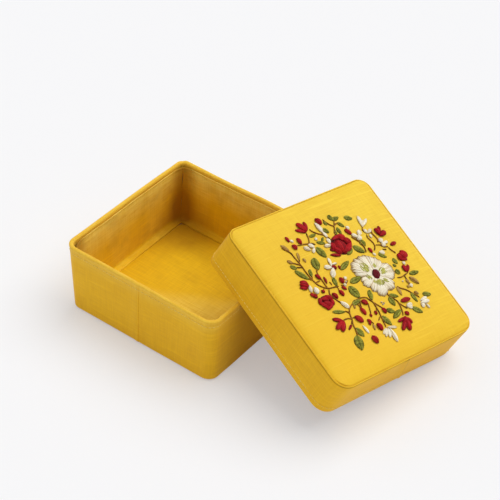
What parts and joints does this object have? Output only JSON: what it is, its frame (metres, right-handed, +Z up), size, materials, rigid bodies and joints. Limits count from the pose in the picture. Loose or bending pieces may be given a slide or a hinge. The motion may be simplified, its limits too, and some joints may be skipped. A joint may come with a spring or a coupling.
{
  "type": "embroidered keepsake box",
  "caption": "Square cloth-covered keepsake box with rounded corners and a lift-off, padded lid embroidered with flowers; the lid is taken off and leans on the base.",
  "frame": {"origin": "centre of the base's flat underside, on the surface that the box stands on", "axes": "+Z up, +X and +Y along the base's straight sides, with the lid leaning on the base from +X"},
  "size_m": [0.2893, 0.1953, 0.1152],
  "materials": {
    "golden_silk": "golden-yellow slub silk with a soft sheen",
    "amber_lining": "amber-yellow lining silk",
    "grey_board": "plain grey bookbinder's board",
    "white_cotton": "undyed cotton cord and wadding",
    "pale_thread": "pale gold sewing thread",
    "crimson_thread": "crimson stranded embroidery thread",
    "maroon_thread": "maroon stranded embroidery thread",
    "cream_thread": "cream stranded embroidery thread",
    "leaf_thread": "leaf-green stranded embroidery thread",
    "stem_thread": "brown stranded embroidery thread"
  },
  "bodies": {
    "base": {"base_floor_board": "grey_board", "base_floor_card": "grey_board", "base_floor_cloth": "amber_lining", "base_lining_back": "amber_lining", "base_lining_front": "amber_lining", "base_lining_left": "amber_lining", "base_lining_right": "amber_lining", "base_outer_cloth": "golden_silk", "base_rim_cord": "white_cotton", "base_rim_stitches": "pale_thread", "base_underside_panel": "amber_lining", "base_wall_board": "grey_board"},
    "lid": {"lid_piping_cloth": "golden_silk", "lid_piping_cord": "white_cotton", "lid_rim_stitches": "pale_thread", "lid_side_cloth": "golden_silk", "lid_top_board": "grey_board", "lid_top_cloth": "golden_silk", "lid_top_lining": "amber_lining", "lid_top_wadding": "white_cotton", "lid_wall_board": "grey_board", "lid_wall_lining": "amber_lining", "embroidery_flower_centre": "maroon_thread", "embroidery_large_flower": "cream_thread", "embroidery_large_rose": "crimson_thread", "embroidery_leaf_bottom": "leaf_thread", "embroidery_leaf_centre_left": "leaf_thread", "embroidery_leaf_inner": "leaf_thread", "embroidery_leaf_left": "leaf_thread", "embroidery_leaf_lower": "leaf_thread", "embroidery_leaf_lower_left": "leaf_thread", "embroidery_leaf_middle": "leaf_thread", "embroidery_leaf_upper": "leaf_thread", "embroidery_leaf_upper_left": "leaf_thread", "embroidery_rose_edge": "crimson_thread", "embroidery_rose_left": "crimson_thread", "embroidery_rose_right": "crimson_thread", "embroidery_stem_bottom": "stem_thread", "embroidery_stem_left": "stem_thread", "embroidery_stem_long": "stem_thread", "embroidery_stem_lower_right": "stem_thread", "embroidery_stem_right": "stem_thread", "embroidery_stem_side": "stem_thread", "embroidery_stem_top": "stem_thread", "embroidery_stem_upper": "stem_thread", "embroidery_tulip_lower_left": "crimson_thread", "embroidery_tulip_lower_right": "crimson_thread", "embroidery_tulip_right": "crimson_thread", "embroidery_tulip_upper": "crimson_thread", "embroidery_tulip_upper_right": "crimson_thread", "embroidery_white_flower_bottom": "cream_thread", "embroidery_white_flower_inner": "cream_thread", "embroidery_white_flower_left": "cream_thread", "embroidery_white_flower_right": "cream_thread", "embroidery_white_flower_rose": "cream_thread", "embroidery_white_flower_top": "cream_thread", "embroidery_white_flower_upper_left": "cream_thread", "embroidery_white_flower_upper_right": "cream_thread"}
  },
  "joints": [
    {"name": "lid_lift", "type": "slide", "parent": "base", "child": "lid", "axis": [0.407, 0.0663, 0.911], "range_m": [0, 0.12]}
  ]
}
